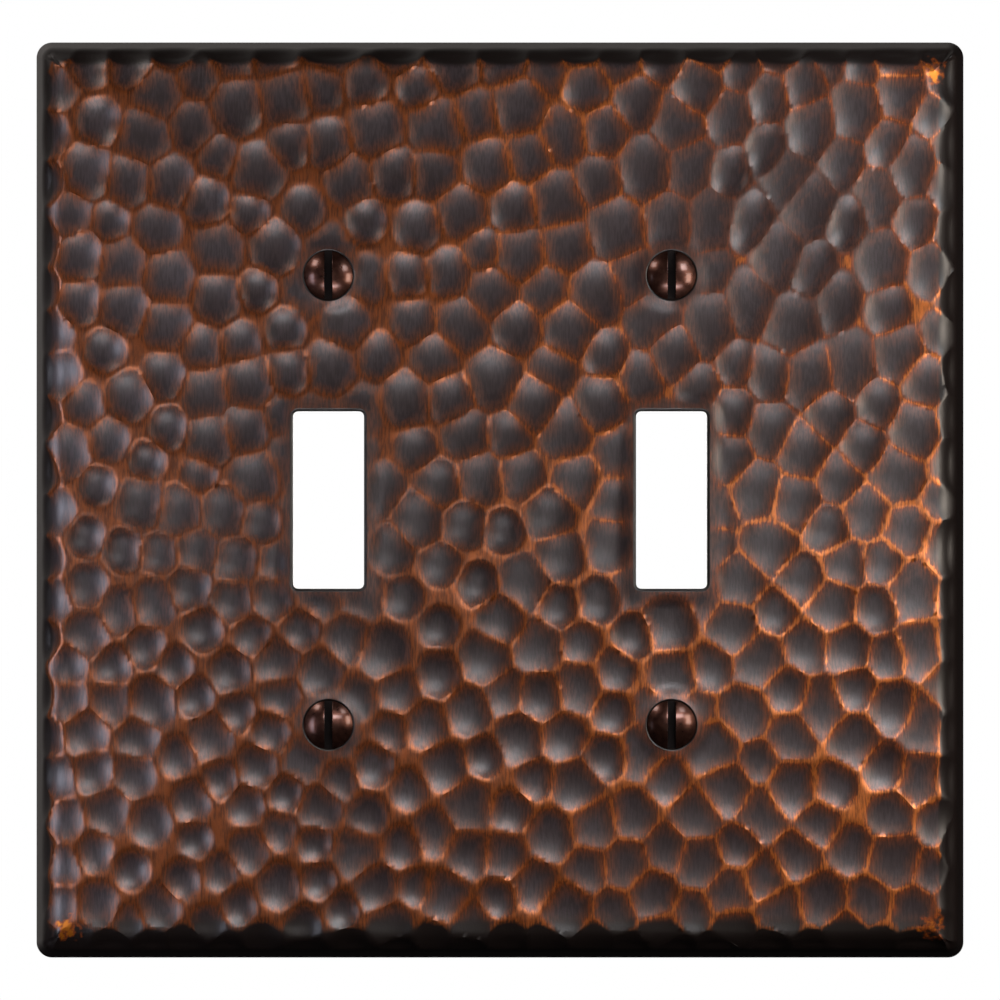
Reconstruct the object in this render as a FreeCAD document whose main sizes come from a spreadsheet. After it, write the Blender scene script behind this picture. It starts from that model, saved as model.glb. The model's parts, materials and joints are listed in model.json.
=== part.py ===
import FreeCAD, Part
import os
import Sketcher
from FreeCAD import Rotation, Vector

# Two-gang toggle wall plate in hammered copper, with its four oval-head screws.
#
# Frame, in millimetres: the plate stands on the wall as it is used. +X is to the right, +Z is
# up and +Y runs into the wall. The wall plane is Y = 0, so the face looks along -Y. The
# origin is the middle of the four-screw pattern, on the wall plane.

doc = FreeCAD.newDocument("wall_plate_cover")

# ---------------------------------------------------------------------------------------
# Driving sizes, in millimetres and degrees
# ---------------------------------------------------------------------------------------

DRIVING_SIZES = [
    ("plate_width", 125.4, "outline across, where the rim meets the wall"),
    ("plate_height", 123.8, "outline up and down, where the rim meets the wall"),
    ("plate_depth", 6.35, "wall plane to the flat face"),
    ("sheet_thickness", 1.0, "copper sheet that the plate is pressed from"),
    ("wall_draft", 16.0, "lean of the four side walls from square, in degrees"),
    ("corner_radius", 2.1, "outer radius down each corner of the side walls"),
    ("shoulder_radius", 3.2, "outer radius where the side walls roll into the face"),
    ("gang_spacing", 46.0375, "centre to centre of the two switch positions"),
    ("screw_spacing", 60.325, "upper to lower screw of one switch"),
    ("toggle_width", 9.525, "toggle opening across"),
    ("toggle_height", 23.8125, "toggle opening up and down"),
    ("toggle_corner", 0.7, "corner radius of the toggle opening"),
    ("toggle_edge", 0.45, "rolled front edge of the toggle opening"),
    ("head_diameter", 6.5, "screw head across its rim"),
    ("head_rise", 1.1, "height of the dome above the rim"),
    ("head_land", 0.15, "straight rim between the dome and the cone"),
    ("cone_angle", 41.0, "half angle of the cone under the head, in degrees"),
    ("slot_width", 1.04, "driver slot across"),
    ("slot_depth", 1.3, "driver slot from the top of the dome"),
    ("thread_diameter", 3.5, "outside of the thread, number 6 with 32 turns to the inch"),
    ("neck_diameter", 2.8, "plain neck between the head and the thread"),
    ("neck_relief", 0.4, "plain neck left behind the seat before the thread starts"),
    ("screw_length", 12.7, "rim of the head to the tip"),
    ("tip_chamfer", 0.5, "bevel at the tip"),
    ("head_sink", 0.1, "rim of the head below the face"),
    ("seat_gap", 0.05, "clearance between the cone of the head and its seat"),
    ("hole_gap", 0.25, "radial clearance between the hole and the thread"),
    ("cut_margin", 0.5, "how far a cutting tool runs past the metal"),
]

sizes = doc.addObject("Spreadsheet::Sheet", "sizes")
for row, (alias, value, meaning) in enumerate(DRIVING_SIZES, start=1):
    sizes.set(f"A{row}", alias)
    sizes.set(f"B{row}", str(value))
    sizes.set(f"C{row}", meaning)
    sizes.setAlias(f"B{row}", alias)
doc.recompute()

# Formulas that several pieces share, all driven by the sheet.
LEAN = "tan(sizes.wall_draft)"
LEVEL_WALL = "sizes.sheet_thickness / cos(sizes.wall_draft)"
CONE = "tan(sizes.cone_angle)"
HEAD_RADIUS = "sizes.head_diameter / 2"
NECK_RADIUS = "sizes.neck_diameter / 2"
THREAD_RADIUS = "sizes.thread_diameter / 2"
HOLE_RADIUS = f"({THREAD_RADIUS} + sizes.hole_gap)"
SEAT_MOUTH = f"({HEAD_RADIUS} + sizes.head_sink * {CONE} + sizes.seat_gap / cos(sizes.cone_angle))"
SEAT_DEPTH = f"(({SEAT_MOUTH} - {HOLE_RADIUS}) / {CONE})"
HALF_SHEET = "sizes.sheet_thickness / 2"
DIMPLE_DEPTH = f"({SEAT_DEPTH} + {HALF_SHEET})"
DIMPLE_SKIN = f"({SEAT_MOUTH} + sizes.sheet_thickness / cos(sizes.cone_angle))"

INTO_WALL = Rotation(Vector(1, 0, 0), -90)
SIDES = {"left": -1, "right": 1}
LEVELS = {"upper": 1, "lower": -1}


def bind(feature, **formulas):
    """Bind each named property of a feature to a formula in the sheet's sizes."""
    for name, formula in formulas.items():
        feature.setExpression(name, formula)


def place(feature, across, into, upward):
    """Bind a feature's place to three formulas, keeping its rotation."""
    feature.setExpression("Placement.Base.x", across)
    feature.setExpression("Placement.Base.y", into)
    feature.setExpression("Placement.Base.z", upward)


# ---------------------------------------------------------------------------------------
# Wall plate: a pressed shell, open towards the wall
# ---------------------------------------------------------------------------------------


def pressed_form(name, inset, front, back, corner, shoulder):
    """A block with leaning sides from Y = front to Y = back, its edges rounded.

    The sides lie inside the plate's outer walls by the inset, measured level. The first
    radius rounds the four leaning corners, and the second the edges of the front.
    """
    block = doc.addObject("Part::Wedge", name + "_block")
    bind(block, Ymin=front, Ymax=back)
    for axis, size in (("X", "plate_width"), ("Z", "plate_height")):
        at_front = f"(sizes.{size} / 2 - {inset} + ({front}) * {LEAN})"
        at_back = f"(sizes.{size} / 2 - {inset} + ({back}) * {LEAN})"
        block.setExpression(axis + "min", "-" + at_front)
        block.setExpression(axis + "max", at_front)
        block.setExpression(axis + "2min", "-" + at_back)
        block.setExpression(axis + "2max", at_back)
    doc.recompute()

    radii = []
    front_y = block.Shape.BoundBox.YMin
    middle_y = block.Shape.BoundBox.Center.y
    for number, edge in enumerate(block.Shape.Edges, start=1):
        low_y, high_y = sorted(vertex.Point.y for vertex in edge.Vertexes)
        if low_y < middle_y < high_y:
            radii.append((number, corner, corner))
        elif abs(high_y - front_y) < 1e-4:
            radii.append((number, shoulder, shoulder))
    form = doc.addObject("Part::Fillet", name)
    form.Base = block
    form.Edges = radii
    return form


def edges_along_y(shape):
    """Numbers of a shape's straight edges that run along Y."""
    numbers = []
    for number, edge in enumerate(shape.Edges, start=1):
        run = edge.Vertexes[-1].Point - edge.Vertexes[0].Point
        if abs(run.y) > 1e-4 and abs(run.x) < 1e-4 and abs(run.z) < 1e-4:
            numbers.append(number)
    return numbers


def toggle_cutter(side, sign):
    """The rounded block that cuts one toggle opening through the face."""
    block = doc.addObject("Part::Box", f"{side}_toggle_block")
    bind(block, Length="sizes.toggle_width", Height="sizes.toggle_height",
         Width="sizes.sheet_thickness + 2 * sizes.cut_margin")
    place(block, f"{sign} * sizes.gang_spacing / 2 - sizes.toggle_width / 2",
          "-sizes.plate_depth - sizes.cut_margin", "-sizes.toggle_height / 2")
    doc.recompute()
    cutter = doc.addObject("Part::Fillet", f"{side}_toggle_cutter")
    cutter.Base = block
    cutter.Edges = [(number, sizes.toggle_corner, sizes.toggle_corner)
                    for number in edges_along_y(block.Shape)]
    return cutter


def screw_seat(name, across, upward):
    """The dimple that holds one screw head: its skin, its countersink and its hole."""
    skin = doc.addObject("Part::Cone", name + "_dimple")
    skin.Placement.Rotation = INTO_WALL
    bind(skin, Radius1=f"{DIMPLE_SKIN} - {HALF_SHEET} * {CONE}",
         Radius2=f"{DIMPLE_SKIN} - {DIMPLE_DEPTH} * {CONE}",
         Height=f"{DIMPLE_DEPTH} - {HALF_SHEET}")
    place(skin, across, f"-sizes.plate_depth + {HALF_SHEET}", upward)

    countersink = doc.addObject("Part::Cone", name + "_countersink")
    countersink.Placement.Rotation = INTO_WALL
    bind(countersink, Radius1=f"{SEAT_MOUTH} + sizes.cut_margin * {CONE}",
         Radius2=HOLE_RADIUS, Height=f"{SEAT_DEPTH} + sizes.cut_margin")
    place(countersink, across, "-sizes.plate_depth - sizes.cut_margin", upward)

    hole = doc.addObject("Part::Cylinder", name + "_hole")
    hole.Placement.Rotation = INTO_WALL
    bind(hole, Radius=HOLE_RADIUS, Height=f"{DIMPLE_DEPTH} + sizes.cut_margin")
    place(hole, across, "-sizes.plate_depth", upward)
    return skin, [countersink, hole]


def make_wall_plate(screw_places):
    """The whole plate: shell, screw seats, toggle openings and their rolled edges."""
    thickness = sizes.sheet_thickness
    outside = pressed_form("outside", "0", "-sizes.plate_depth", "0",
                           sizes.corner_radius, sizes.shoulder_radius)
    inside = pressed_form("inside", LEVEL_WALL, "-sizes.plate_depth + sizes.sheet_thickness",
                          "sizes.cut_margin", sizes.corner_radius - thickness,
                          sizes.shoulder_radius - thickness)
    shell = doc.addObject("Part::Cut", "shell")
    shell.Base = outside
    shell.Tool = inside

    skins = []
    cutters = []
    for name, (across, upward) in screw_places.items():
        skin, tools = screw_seat(name, across, upward)
        skins.append(skin)
        cutters += tools
    for side, sign in SIDES.items():
        cutters.append(toggle_cutter(side, sign))

    dimpled_shell = doc.addObject("Part::MultiFuse", "dimpled_shell")
    dimpled_shell.Shapes = [shell] + skins
    cutting_tools = doc.addObject("Part::MultiFuse", "cutting_tools")
    cutting_tools.Shapes = cutters
    pierced_shell = doc.addObject("Part::Cut", "pierced_shell")
    pierced_shell.Base = dimpled_shell
    pierced_shell.Tool = cutting_tools
    doc.recompute()

    plate = doc.addObject("Part::Fillet", "wall_plate")
    plate.Label = "wall_plate"
    plate.Base = pierced_shell
    plate.Edges = [(number, sizes.toggle_edge, sizes.toggle_edge)
                   for number in toggle_rim_edges(pierced_shell.Shape)]
    plate.Placement = FreeCAD.Placement(Vector(0, 0, 0), Rotation())
    doc.recompute()
    return plate


def toggle_rim_edges(shape):
    """Numbers of the edges round the toggle openings, on the front of the face."""
    half_width = sizes.toggle_width / 2 + 1e-3
    half_height = sizes.toggle_height / 2 + 1e-3
    numbers = []
    for number, edge in enumerate(shape.Edges, start=1):
        middle = edge.CenterOfMass
        from_gang = abs(middle.x) - sizes.gang_spacing / 2
        on_face = abs(middle.y + sizes.plate_depth) < 1e-4
        if on_face and abs(from_gang) < half_width and abs(middle.z) < half_height:
            numbers.append(number)
    return numbers


# ---------------------------------------------------------------------------------------
# Screws: slotted oval head, number 6, with the thread as a plain cylinder
# ---------------------------------------------------------------------------------------

# Each screw is drawn with the top of its dome at its own origin and its tip towards +Y.
RIM_FRONT = "sizes.head_rise"
RIM_BACK = "(sizes.head_rise + sizes.head_land)"
CONE_END = f"({RIM_BACK} + ({HEAD_RADIUS} - {NECK_RADIUS}) / {CONE})"
NECK_END = f"({RIM_BACK} - sizes.head_sink + {DIMPLE_DEPTH} + sizes.neck_relief)"
THREAD_START = f"({NECK_END} + {THREAD_RADIUS} - {NECK_RADIUS})"
TIP = "(sizes.head_rise + sizes.screw_length)"

# Corners of half the screw's outline, from the top of the dome to the tip: the name of the
# corner, its distance from the screw's axis and its distance from the top of the dome.
SCREW_OUTLINE = [
    ("rim_front", HEAD_RADIUS, RIM_FRONT),
    ("rim_back", HEAD_RADIUS, RIM_BACK),
    ("cone_end", NECK_RADIUS, CONE_END),
    ("neck_end", NECK_RADIUS, NECK_END),
    ("thread_start", THREAD_RADIUS, THREAD_START),
    ("thread_end", THREAD_RADIUS, f"{TIP} - sizes.tip_chamfer"),
    ("tip_edge", f"{THREAD_RADIUS} - sizes.tip_chamfer", TIP),
]

START, END, CENTRE = 1, 2, 3
SKETCH_ORIGIN = (-1, 1)
SKETCH_V_AXIS = -2


def sketch_on(body, name, role):
    """A new sketch of a body, lying on one of the body's own origin planes."""
    plane = [item for item in body.Origin.OriginFeatures if item.Role == role][0]
    sketch = body.newObject("Sketcher::SketchObject", name)
    sketch.AttachmentSupport = [(plane, "")]
    sketch.MapMode = "FlatFace"
    return sketch


def pin_point(sketch, corner, geometry, end, across, down):
    """Tie one point of a sketch to two formulas, measured from the sketch's origin."""
    for kind, formula in (("DistanceX", across), ("DistanceY", down)):
        value = float(sketch.evalExpression(formula))
        index = sketch.addConstraint(
            Sketcher.Constraint(kind, *SKETCH_ORIGIN, geometry, end, value))
        label = corner + ("_across" if kind == "DistanceX" else "_down")
        sketch.renameConstraint(index, label)
        sketch.setExpression("Constraints." + label, formula)


def draw_screw_outline(sketch):
    """Half the screw's outline: the dome's arc, straight runs and the axis."""
    points = [Vector(0, 0, 0)]
    for _, across, down in SCREW_OUTLINE:
        points.append(Vector(float(sketch.evalExpression(across)),
                             float(sketch.evalExpression(down)), 0))
    points.append(Vector(0, points[-1].y, 0))

    rim = points[1]
    dome_radius = (rim.x ** 2 + rim.y ** 2) / (2 * rim.y)
    dome_centre = Vector(0, dome_radius, 0)
    towards_rim = rim - dome_centre
    half_chord_angle = towards_rim.getAngle(Vector(0, -1, 0)) / 2
    turn = Rotation(Vector(0, 0, 1), FreeCAD.Units.Quantity(half_chord_angle, "rad"))
    bulge = dome_centre + turn.multVec(Vector(0, -dome_radius, 0))
    arc = Part.Arc(points[0], bulge, rim)
    sketch.addGeometry(arc)
    for first, second in zip(points[1:], points[2:] + points[:1]):
        sketch.addGeometry(Part.LineSegment(first, second))

    # The dome is geometry 0, drawn anticlockwise from the top to the rim, and geometry k
    # runs from outline corner k to corner k + 1, the last one back along the axis.
    last = len(points) - 1
    sketch.addConstraint(Sketcher.Constraint("Coincident", 0, START, *SKETCH_ORIGIN))
    sketch.addConstraint(Sketcher.Constraint("PointOnObject", 0, CENTRE, SKETCH_V_AXIS))
    sketch.addConstraint(Sketcher.Constraint("Coincident", 0, END, 1, START))
    for number in range(1, last):
        sketch.addConstraint(Sketcher.Constraint("Coincident", number, END, number + 1, START))
    sketch.addConstraint(Sketcher.Constraint("Coincident", last, END, *SKETCH_ORIGIN))
    sketch.addConstraint(Sketcher.Constraint("Vertical", last))
    sketch.addConstraint(Sketcher.Constraint("Horizontal", last - 1))
    for number, (corner, across, down) in enumerate(SCREW_OUTLINE, start=1):
        pin_point(sketch, corner, number, START, across, down)


def draw_slot_outline(sketch):
    """The driver slot seen from in front: a rectangle that runs past the head."""
    half_width = float(sketch.evalExpression("sizes.slot_width / 2"))
    half_run = float(sketch.evalExpression(f"{HEAD_RADIUS} + sizes.cut_margin"))
    corners = [Vector(half_width * x, half_run * z, 0)
               for x, z in ((-1, -1), (1, -1), (1, 1), (-1, 1))]
    for first, second in zip(corners, corners[1:] + corners[:1]):
        sketch.addGeometry(Part.LineSegment(first, second))
    for number in range(4):
        following = (number + 1) % 4
        sketch.addConstraint(Sketcher.Constraint("Coincident", number, END, following, START))
    for number, kind in enumerate(("Horizontal", "Vertical", "Horizontal", "Vertical")):
        sketch.addConstraint(Sketcher.Constraint(kind, number))
    sketch.addConstraint(Sketcher.Constraint("Symmetric", 0, START, 1, END, *SKETCH_ORIGIN))
    width = sketch.addConstraint(
        Sketcher.Constraint("DistanceX", 0, START, 0, END, 2 * half_width))
    sketch.renameConstraint(width, "slot_across")
    sketch.setExpression("Constraints.slot_across", "sizes.slot_width")
    run = sketch.addConstraint(Sketcher.Constraint("DistanceY", 1, START, 1, END, 2 * half_run))
    sketch.renameConstraint(run, "slot_run")
    sketch.setExpression("Constraints.slot_run", f"2 * ({HEAD_RADIUS} + sizes.cut_margin)")


def make_screw(name, across, upward):
    """One screw: the outline turned about its axis, then the slot cut across its dome."""
    body = doc.addObject("PartDesign::Body", name)
    body.Label = name
    outline = sketch_on(body, name + "_outline", "XY_Plane")
    draw_screw_outline(outline)
    doc.recompute()
    turned = body.newObject("PartDesign::Revolution", name + "_turned")
    turned.Profile = (outline, [""])
    turned.ReferenceAxis = (outline, ["V_Axis"])
    turned.Angle = 360
    doc.recompute()

    slot_outline = sketch_on(body, name + "_slot_outline", "XZ_Plane")
    slot_outline.setExpression("AttachmentOffset.Base.z", "-sizes.slot_depth")
    draw_slot_outline(slot_outline)
    doc.recompute()
    slot = body.newObject("PartDesign::Pocket", name + "_slot")
    slot.Profile = (slot_outline, [""])
    slot.Type = "ThroughAll"
    slot.Reversed = True
    doc.recompute()
    if slot.Shape.Volume > turned.Shape.Volume - sizes.slot_width * sizes.slot_depth:
        raise ValueError(f"{name}: the slot took nothing from the head")

    place(body, across, f"-sizes.plate_depth + sizes.head_sink - {RIM_BACK}", upward)
    return body


# ---------------------------------------------------------------------------------------
# Build, check and write
# ---------------------------------------------------------------------------------------

screw_places = {}
for level, level_sign in LEVELS.items():
    for side, side_sign in SIDES.items():
        screw_places[f"{level}_{side}_screw"] = (f"{side_sign} * sizes.gang_spacing / 2",
                                                 f"{level_sign} * sizes.screw_spacing / 2")

subparts = [make_wall_plate(screw_places)]
for screw_name, (screw_across, screw_upward) in screw_places.items():
    subparts.append(make_screw(screw_name, screw_across, screw_upward))
doc.recompute()

for item in doc.Objects:
    if "Invalid" in item.State or "Error" in item.State:
        raise ValueError(f"{item.Name} did not build: {item.State}")
for subpart in subparts:
    shape = subpart.Shape
    if shape.isNull() or not shape.isValid() or len(shape.Solids) != 1:
        raise ValueError(f"{subpart.Label} is not one sound solid")

os.makedirs("parts", exist_ok=True)
for subpart in subparts:
    subpart.Shape.exportStep(f"parts/{subpart.Label}.step")
    print(subpart.Label, round(subpart.Shape.Volume, 2), "cubic mm")
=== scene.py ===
"""Looks of the hammered copper wall plate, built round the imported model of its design.

Lengths are in metres and angles in radians, as Blender keeps them. X runs to the right, Z up and
Y into the wall. The wall plane is Y = 0 and the face of the plate looks along -Y.
"""
import json
import math

import bmesh
import bpy
import numpy as np
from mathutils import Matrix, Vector


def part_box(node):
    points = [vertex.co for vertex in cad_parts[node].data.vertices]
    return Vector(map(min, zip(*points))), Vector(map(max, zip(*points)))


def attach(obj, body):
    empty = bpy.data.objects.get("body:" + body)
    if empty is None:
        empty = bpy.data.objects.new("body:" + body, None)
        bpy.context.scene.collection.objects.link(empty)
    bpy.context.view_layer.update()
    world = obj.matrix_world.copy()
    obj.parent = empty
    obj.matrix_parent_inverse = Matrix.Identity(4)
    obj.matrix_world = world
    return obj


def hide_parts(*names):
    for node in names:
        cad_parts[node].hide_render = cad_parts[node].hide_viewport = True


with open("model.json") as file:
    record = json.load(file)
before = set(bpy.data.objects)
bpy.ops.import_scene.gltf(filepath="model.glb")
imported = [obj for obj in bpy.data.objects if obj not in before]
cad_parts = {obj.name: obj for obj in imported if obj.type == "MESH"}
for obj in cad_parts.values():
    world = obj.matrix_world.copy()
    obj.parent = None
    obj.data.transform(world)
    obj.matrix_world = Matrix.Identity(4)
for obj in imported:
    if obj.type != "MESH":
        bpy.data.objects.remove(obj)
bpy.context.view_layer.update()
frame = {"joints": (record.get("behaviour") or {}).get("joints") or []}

bl_info = {
    "name": "Hammered copper wall plate",
    "version": (1, 0, 0),
    "blender": (4, 5, 0),
    "location": "View3D > Sidebar > Wall Plate",
    "description": "Hammered toggle switch plate with patina, its screws and a small studio",
    "category": "Object",
}

MM = 0.001
TOUCH = 1e-7                # metres: places nearer than this are the same
PLATE_LOW, PLATE_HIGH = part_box("wall_plate")
PLATE_SIZE = PLATE_HIGH - PLATE_LOW
SCREWS = ("upper_left_screw", "upper_right_screw", "lower_left_screw", "lower_right_screw")
SCREW_JOINTS = {joint["child"]: Vector(joint["pos_m"]) for joint in frame["joints"]}
GANG = abs(SCREW_JOINTS[SCREWS[0]].x)
SCREW_LEVEL = abs(SCREW_JOINTS[SCREWS[0]].z)

# The dents
BLOW_POWER = 2.1            # how square the hollow of a dent is: 2 is a plain bowl
SIZE_APART = 0.56           # a dent's radius over the spacing, where the dents stand apart
SIZE_CROWDED = 0.09         # what it gains where they crowd together
RADIUS_RANGE = (0.84, 1.18)
DEPTH_RANGE = (0.75, 1.15)
CROWDING = (-0.55, 0.75)    # where crowding starts and is full, as shares of half the face
WAVE = 0.10                 # how far the border of the crowding sways, in the same shares
WAVE_TURN = 3.1             # radians of sway over half the face
WAVE_START = 0.6
WIDER_ABOVE = 0.55 * MM     # on the left, spacing gained at the top and lost at the bottom
STREAK_MIDDLE = (0.68, 0.66)    # the patch of slid blows, as shares of half the face
STREAK_SPREAD = (0.08, 0.12)    # the same shares, squared
LONGER = 1.10               # dents are this much longer than wide
LONGER_IN_STREAK = 0.42     # and this much more where the blows slid
LEAN = math.radians(92)
LEAN_IN_STREAK = math.radians(24)
DRAWS = 26000               # places tried for a dent
GAP = 0.77                  # nearest that two dents may be drawn, over the spacing
PAST_LIMIT = 1.5 * MM       # dents are drawn this far past the shoulder
GROUND_STEP = 0.8 * MM      # grid that finds each dent's own ground
RELAX_TIMES = 2
RELAXING = 0.6              # share of the way to the middle of that ground, each time
SOFTNESS = 0.036 * MM       # rounding of the edges where the dents stand apart
SHARPER = 0.010 * MM        # what it loses where they crowd together
LEAST_SLOPE = 0.05          # keeps distances finite where the surface is level
LEAST_RISE = 1e-4           # and so does this, for the square of a slope
LEAST_RIDGE = 0.03 * MM     # two dents this deep meet in a ridge
AT_ONCE = 4000              # places worked out together, to save memory

# The plate's mesh
EDGE_DISTANCE_FAR = 5.0     # millimetres, for places that no dent comes near
EDGE_DISTANCE_WALL = 0.8    # millimetres, for the walls and the rims of the holes
EDGE_NEAR = 1.2             # millimetres: ridges and lands
LESS_RUBBED = 0.9           # millimetres added there where the blows slid
SNAP_REACH = 0.52           # a place this near to a ridge moves onto it, over the mesh's side
LEAST_STRENGTH = 0.6        # if this share of the dents is left there
RING_REACH = 1.2            # open edges this near are a hole's own, over its rim
HOLE_FADE = 2.6 * MM        # width of the mesh round a hole that bends to its outline
MOUTH_ROUND = 0.3 * MM      # radius where a screw seat meets the face
BURR_WIDTH = 0.35 * MM      # flat left round a hole on the back
LIGHT_BLOWS = 4.5 * MM      # the blows are lighter this near to a hole
LIGHTEST_BLOW = 0.4         # share of a blow's depth at the hole
WALL_FADE = (0.60, 1.20)    # where the dents fade on the shoulder, over its length
TOGGLE_FADE = (-0.6 * MM, 2.2 * MM)     # and how far outside the rim of an opening
SEAT_FADE = (-0.5 * MM, 1.9 * MM)       # or of a screw seat
SHOWS_THROUGH = 0.6         # share of a dent's depth that the back shows
TOGGLE_STEPS = 5            # mesh rings round the rolled edge of an opening
SEAT_STEPS = 4              # and round the mouth of a screw seat

# Where the black patina and the painted shade over it start and are full, past each side of the face:
# axis, side, start, full. The painted shade reaches in furthest along the bottom and right, darkening
# the plate there.
SHADED_SIDES = [(0, -1, 1.4 * MM, 4.0 * MM), (0, 1, 0.0 * MM, 1.5 * MM),
                (1, 1, 0.0 * MM, 3.0 * MM), (1, -1, -3.0 * MM, 1.6 * MM)]

# The middle of the wear at a corner, the same at all of them
WORN_CORNER = (58.2 * MM, 6.0 * MM, 57.4 * MM)

# The screws' mesh
TURN_STEPS = 56
DOME_STEPS = 12
THREAD_RINGS_PER_PITCH = 12
TOOTH_TOP = 2.3             # height at which a tooth's flanks would meet, over its own height
TOOTH_SLOPE = 5.29          # fall of a flank over one pitch, in the same measure
THREAD_START = 0.6          # pitches over which the thread rises at the neck

# The studio's lights: name, place, target, size, watts, colour and the beam's spread in degrees
LIGHTS = (
    ("low_strip", (0.02, -0.11, -0.034), (0.01, 0, 0.060), (0.22, 0.02), 0.031, "#f6f3f6", 62),
    ("high_strip", (0.03, -0.11, 0.016), (0.0, 0, -0.064), (0.20, 0.02), 0.032, "#f8f6f8", 60),
    ("back_panel", (0.02, 0.45, 0.02), (0, 0, 0), (0.20, 0.16), 0.9, "#fffaf4", 180),
    ("floor_panel", (0, 0, 0.9), (0, 0, 0), (0.6, 0.6), 9.0, "#ffffff", 180),
    ("front_panel", (0, -0.4, 0), (0, 0, 0), (0.30, 0.30), 0.06, "#ffeee0", 180),
    ("upper_right_panel", (0.12, -0.12, 0.10), (0.045, 0, 0.045), (0.05, 0.05), 0.014,
     "#f2f6f8", 60),
    ("right_panel", (0.17, -0.12, 0.012), (0.03, 0, 0), (0.05, 0.08), 0.13, "#fff0e0", 180),
    ("left_panel", (-0.12, -0.08, -0.02), (-0.06, 0, -0.015), (0.03, 0.12), 0.010, "#e8ecff", 50),
    ("upper_left_panel", (-0.14, -0.11, 0.14), (0, 0, 0), (0.05, 0.05), 0.07, "#fff6f0", 180),
)


# ---------------------------------------------------------------------------------------
# Settings: the sizes and colours that a user would change
# ---------------------------------------------------------------------------------------


def length(name, description, default):
    """A length property in metres, shown to a micrometre."""
    return bpy.props.FloatProperty(name=name, description=description, default=default,
                                   unit="LENGTH", precision=6)


def colour(name, description, default):
    """A colour kept as an sRGB hex value."""
    return bpy.props.StringProperty(name=name, description=description, default=default)


class PlateSettings(bpy.types.PropertyGroup):
    """Sizes of the pressed sheet."""

    sheet: length("Sheet", "Thickness of the copper sheet", 1.0 * MM)
    draft: bpy.props.FloatProperty(name="Draft", description="Lean of the side walls from square",
                                   default=math.radians(16), subtype="ANGLE")
    corner: length("Corner", "Radius of the outline's corners", 2.1 * MM)
    shoulder: length("Shoulder", "Radius where the walls roll into the face", 3.2 * MM)
    toggle_width: length("Opening width", "Toggle opening across", 9.525 * MM)
    toggle_height: length("Opening height", "Toggle opening up and down", 23.8125 * MM)
    toggle_corner: length("Opening corner", "Corner radius of the toggle opening", 0.7 * MM)
    toggle_edge: length("Opening edge", "Rolled front edge of the toggle opening", 0.45 * MM)
    seat_mouth: length("Seat mouth", "Radius of the countersink at the face", 3.403 * MM)
    seat_angle: bpy.props.FloatProperty(name="Seat angle", description="Half angle of the countersink",
                                        default=math.radians(41), subtype="ANGLE")
    hole: length("Screw hole", "Radius of the hole for the screw's neck", 2.0 * MM)
    front_mesh: length("Front mesh", "Side of a mesh face on the hammered front", 0.49 * MM)
    back_mesh: length("Back mesh", "Side of a mesh face on the back", 1.05 * MM)


class HammerSettings(bpy.types.PropertyGroup):
    """How the dents of the hammer lie and how deep they are."""

    seed: bpy.props.IntProperty(name="Seed", description="Start of the random draws", default=11)
    spacing_left: length("Spacing, left", "Dent to dent on the left", 6.25 * MM)
    spacing_right: length("Spacing, right", "Dent to dent on the right", 6.4 * MM)
    depth: length("Depth", "Depth of one blow", 0.80 * MM)


class FinishSettings(bpy.types.PropertyGroup):
    """Colours of the patina, the copper and the screws."""

    oxide: colour("Oxide", "Dark patina on the floors of the dents", "#33282a")
    ash: colour("Ash", "Greyer patches of that patina", "#3c3336")
    umber: colour("Umber", "Brown patina between oxide and copper", "#5e3523")
    copper: colour("Copper", "Copper rubbed bare on the lands", "#8a4719")
    red_copper: colour("Red copper", "The same where the dents crowd together", "#a04a18")
    # Glint is a painted highlight: the bright line that the light from the right lays along the
    # sharpest ridges, put into the copper's colour.
    glint: colour("Glint", "Copper polished bright along the sharpest ridges", "#dc8038")
    soot: colour("Soot", "Patina left between the strokes of the abrasive", "#1a1211")
    # Black is the walls' patina, and also painted shade: darker towards the bottom and right and round
    # the edges of the holes.
    black: colour("Black", "Full patina on the walls", "#160f0d")
    worn: colour("Worn", "Copper worn through at the corners", "#b4561c")
    worn_bright: colour("Worn bright", "The middle of that wear", "#d07a20")
    back: colour("Back", "Tarnish on the back", "#4a2a1e")
    back_light: colour("Back, light", "Lighter patches of that tarnish", "#74432d")
    bronze: colour("Bronze", "Coating of the screws", "#4c2f27")
    bronze_light: colour("Bronze, light", "Lighter patches of that coating", "#5e3d33")


class StudioSettings(bpy.types.PropertyGroup):
    """Floor and camera."""

    lens: bpy.props.FloatProperty(name="Lens", description="Focal length in millimetres",
                                  default=200.0)
    field: length("Field", "Width of the view at the face of the plate", 135.3 * MM)
    floor_drop: length("Floor drop", "Floor below the middle of the plate", 105 * MM)
    floor_radius: length("Floor radius", "Radius of the floor disc", 400 * MM)


# ---------------------------------------------------------------------------------------
# Shape of the plate: flat face, rolled shoulder, leaning wall
# ---------------------------------------------------------------------------------------


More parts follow.
